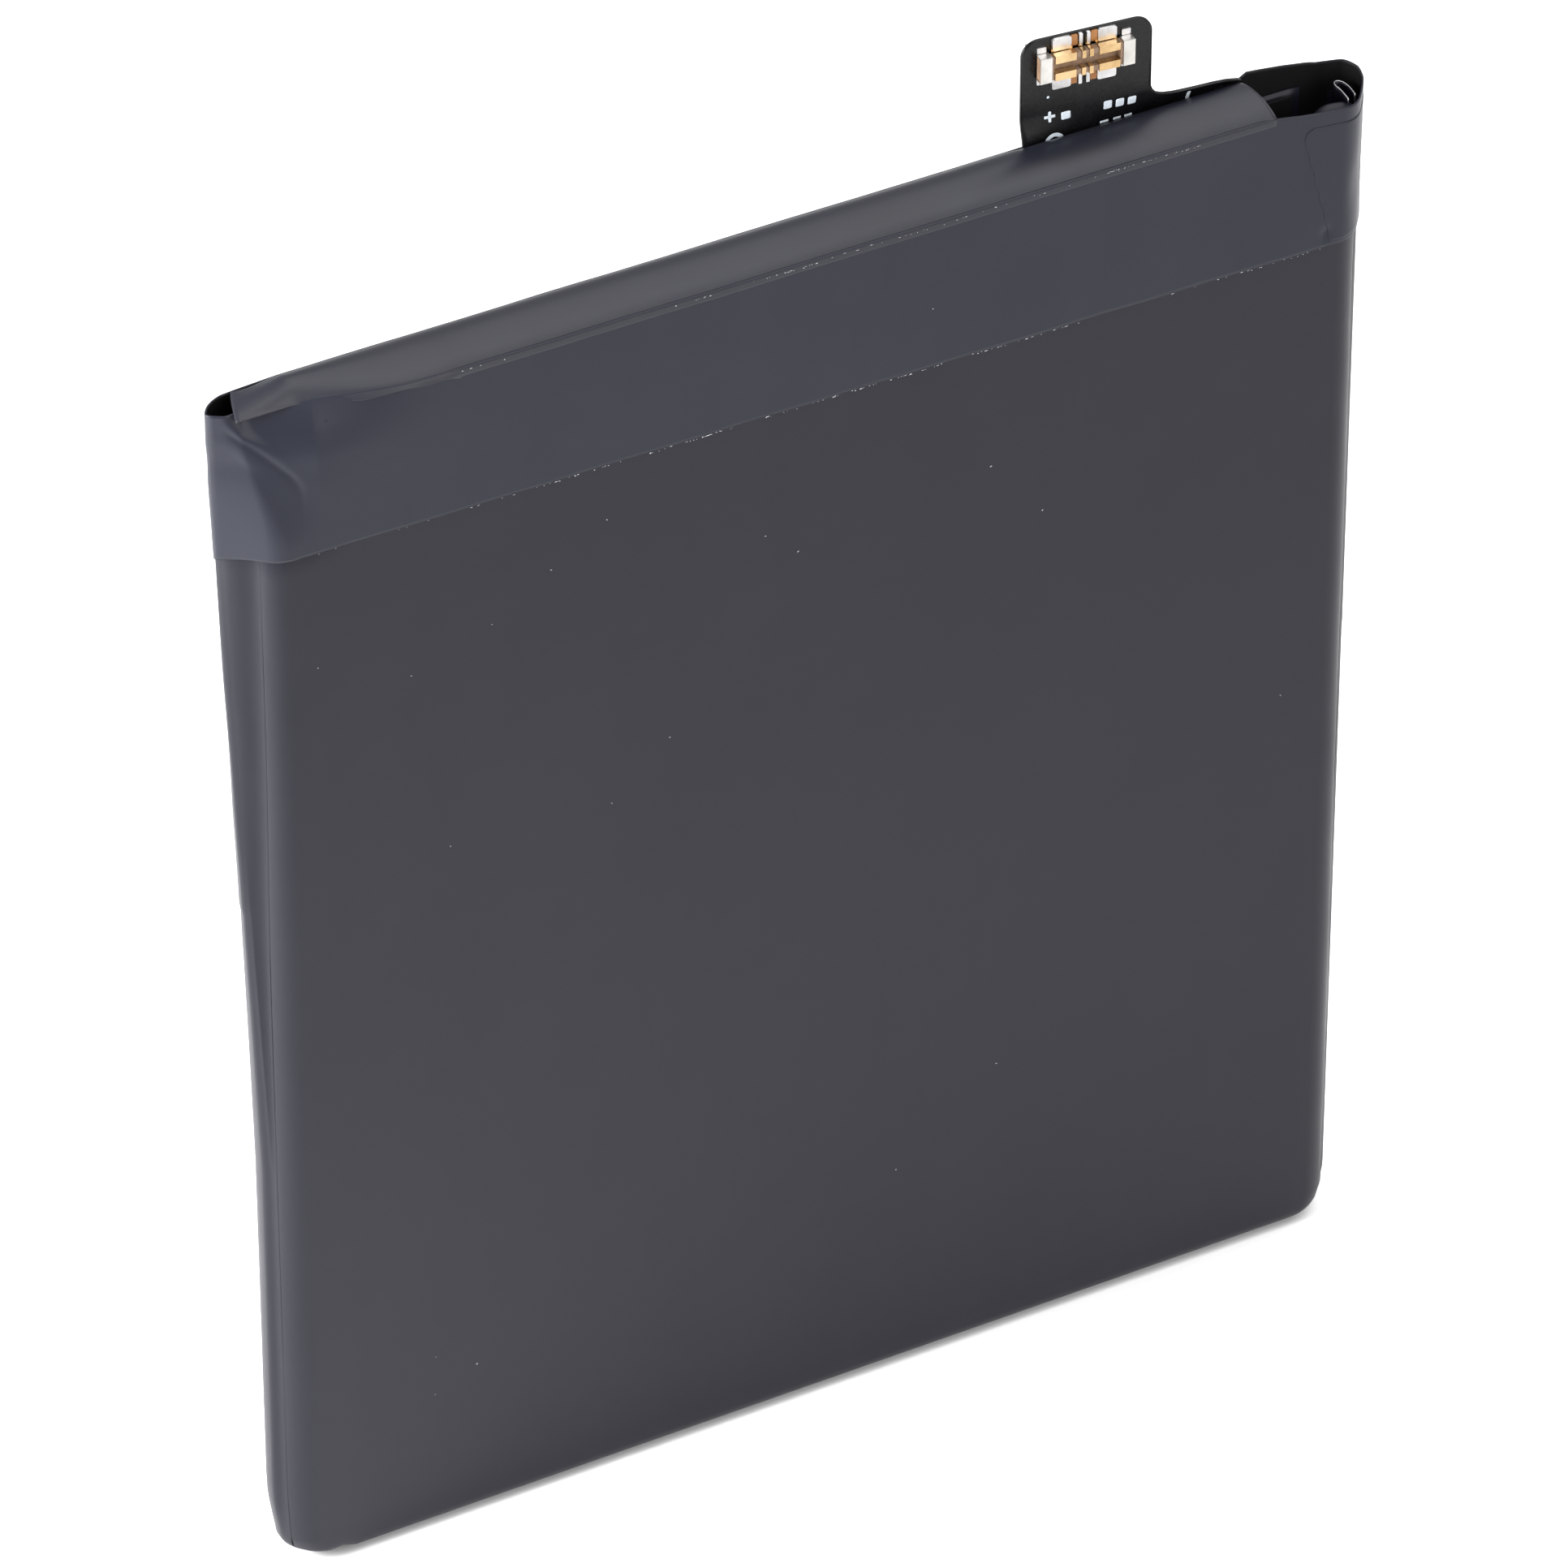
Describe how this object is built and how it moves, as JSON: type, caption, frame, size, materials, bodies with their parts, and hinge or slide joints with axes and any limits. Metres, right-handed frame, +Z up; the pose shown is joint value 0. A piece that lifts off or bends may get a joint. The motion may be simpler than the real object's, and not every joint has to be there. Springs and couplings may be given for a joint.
{
  "type": "pouch battery cell",
  "caption": "Flat rectangular pouch battery cell with a taped terminal end and a short flexible tail that carries a low board-to-board power plug.",
  "frame": {"origin": "middle of the flat strip along the folded bottom edge that the cell stands on", "axes": "+X across the width towards the side with the open pocket, +Y out of the back, +Z up to the terminal end; the front faces -Y"},
  "size_m": [0.0661, 0.0041, 0.0799],
  "materials": {
    "laminate": "satin",
    "tape": "satin",
    "black_film": "satin",
    "flex": "gloss",
    "gold": "gloss",
    "tin": "satin",
    "steel": "satin",
    "resin": "satin",
    "nickel": "satin",
    "aluminium": "satin",
    "tab_film": "matte",
    "cathode": "matte",
    "anode": "matte",
    "separator": "matte",
    "stop_tape": "gloss",
    "board": "satin",
    "package": "matte",
    "ceramic": "matte",
    "resistor": "satin",
    "polyimide": "gloss",
    "foam": "matte",
    "label": "satin"
  },
  "bodies": {
    "cell": {"pouch_cup": "laminate", "pouch_cover": "laminate", "side_seal_left": "laminate", "side_seal_right": "laminate", "separator_inner": "separator", "anode_foil": "anode", "separator_outer": "separator", "cathode_foil": "cathode", "winding_end_tape": "stop_tape", "positive_tab": "aluminium", "positive_tab_film": "tab_film", "negative_tab": "nickel", "negative_tab_film": "tab_film", "protection_board": "board", "positive_weld_plate": "nickel", "negative_weld_plate": "nickel", "mosfet_pair": "package", "protection_ic": "package", "sense_resistor": "resistor", "fuel_gauge_ic": "package", "thermistor": "ceramic", "chip_capacitor_1": "ceramic", "chip_capacitor_2": "ceramic", "chip_capacitor_3": "ceramic", "chip_capacitor_4": "ceramic", "chip_resistor_1": "resistor", "chip_resistor_2": "resistor", "chip_resistor_3": "resistor", "chip_resistor_4": "resistor", "component_tape": "polyimide", "header_foam": "foam", "seal_insulator": "black_film", "header_band_tape": "tape", "header_roof_tape": "tape", "back_label": "label", "flex_root": "flex"},
    "flex_tail": {"flex_tail": "flex", "stiffener_plate": "steel", "connector_housing": "resin", "power_contact_1": "gold", "power_contact_2": "gold", "power_contact_3": "gold", "power_contact_4": "gold", "signal_contact_1": "gold", "signal_contact_2": "gold", "signal_contact_3": "gold", "signal_contact_4": "gold", "hold_down_left": "tin", "hold_down_right": "tin"}
  },
  "joints": [
    {"name": "tail_bend", "type": "hinge", "parent": "cell", "child": "flex_tail", "pos_m": [0, 0.00144, 0.07475], "axis": [1, 0, 0], "range_deg": [-80, 45], "stiffness_Nm_per_rad": 0.0004}
  ]
}
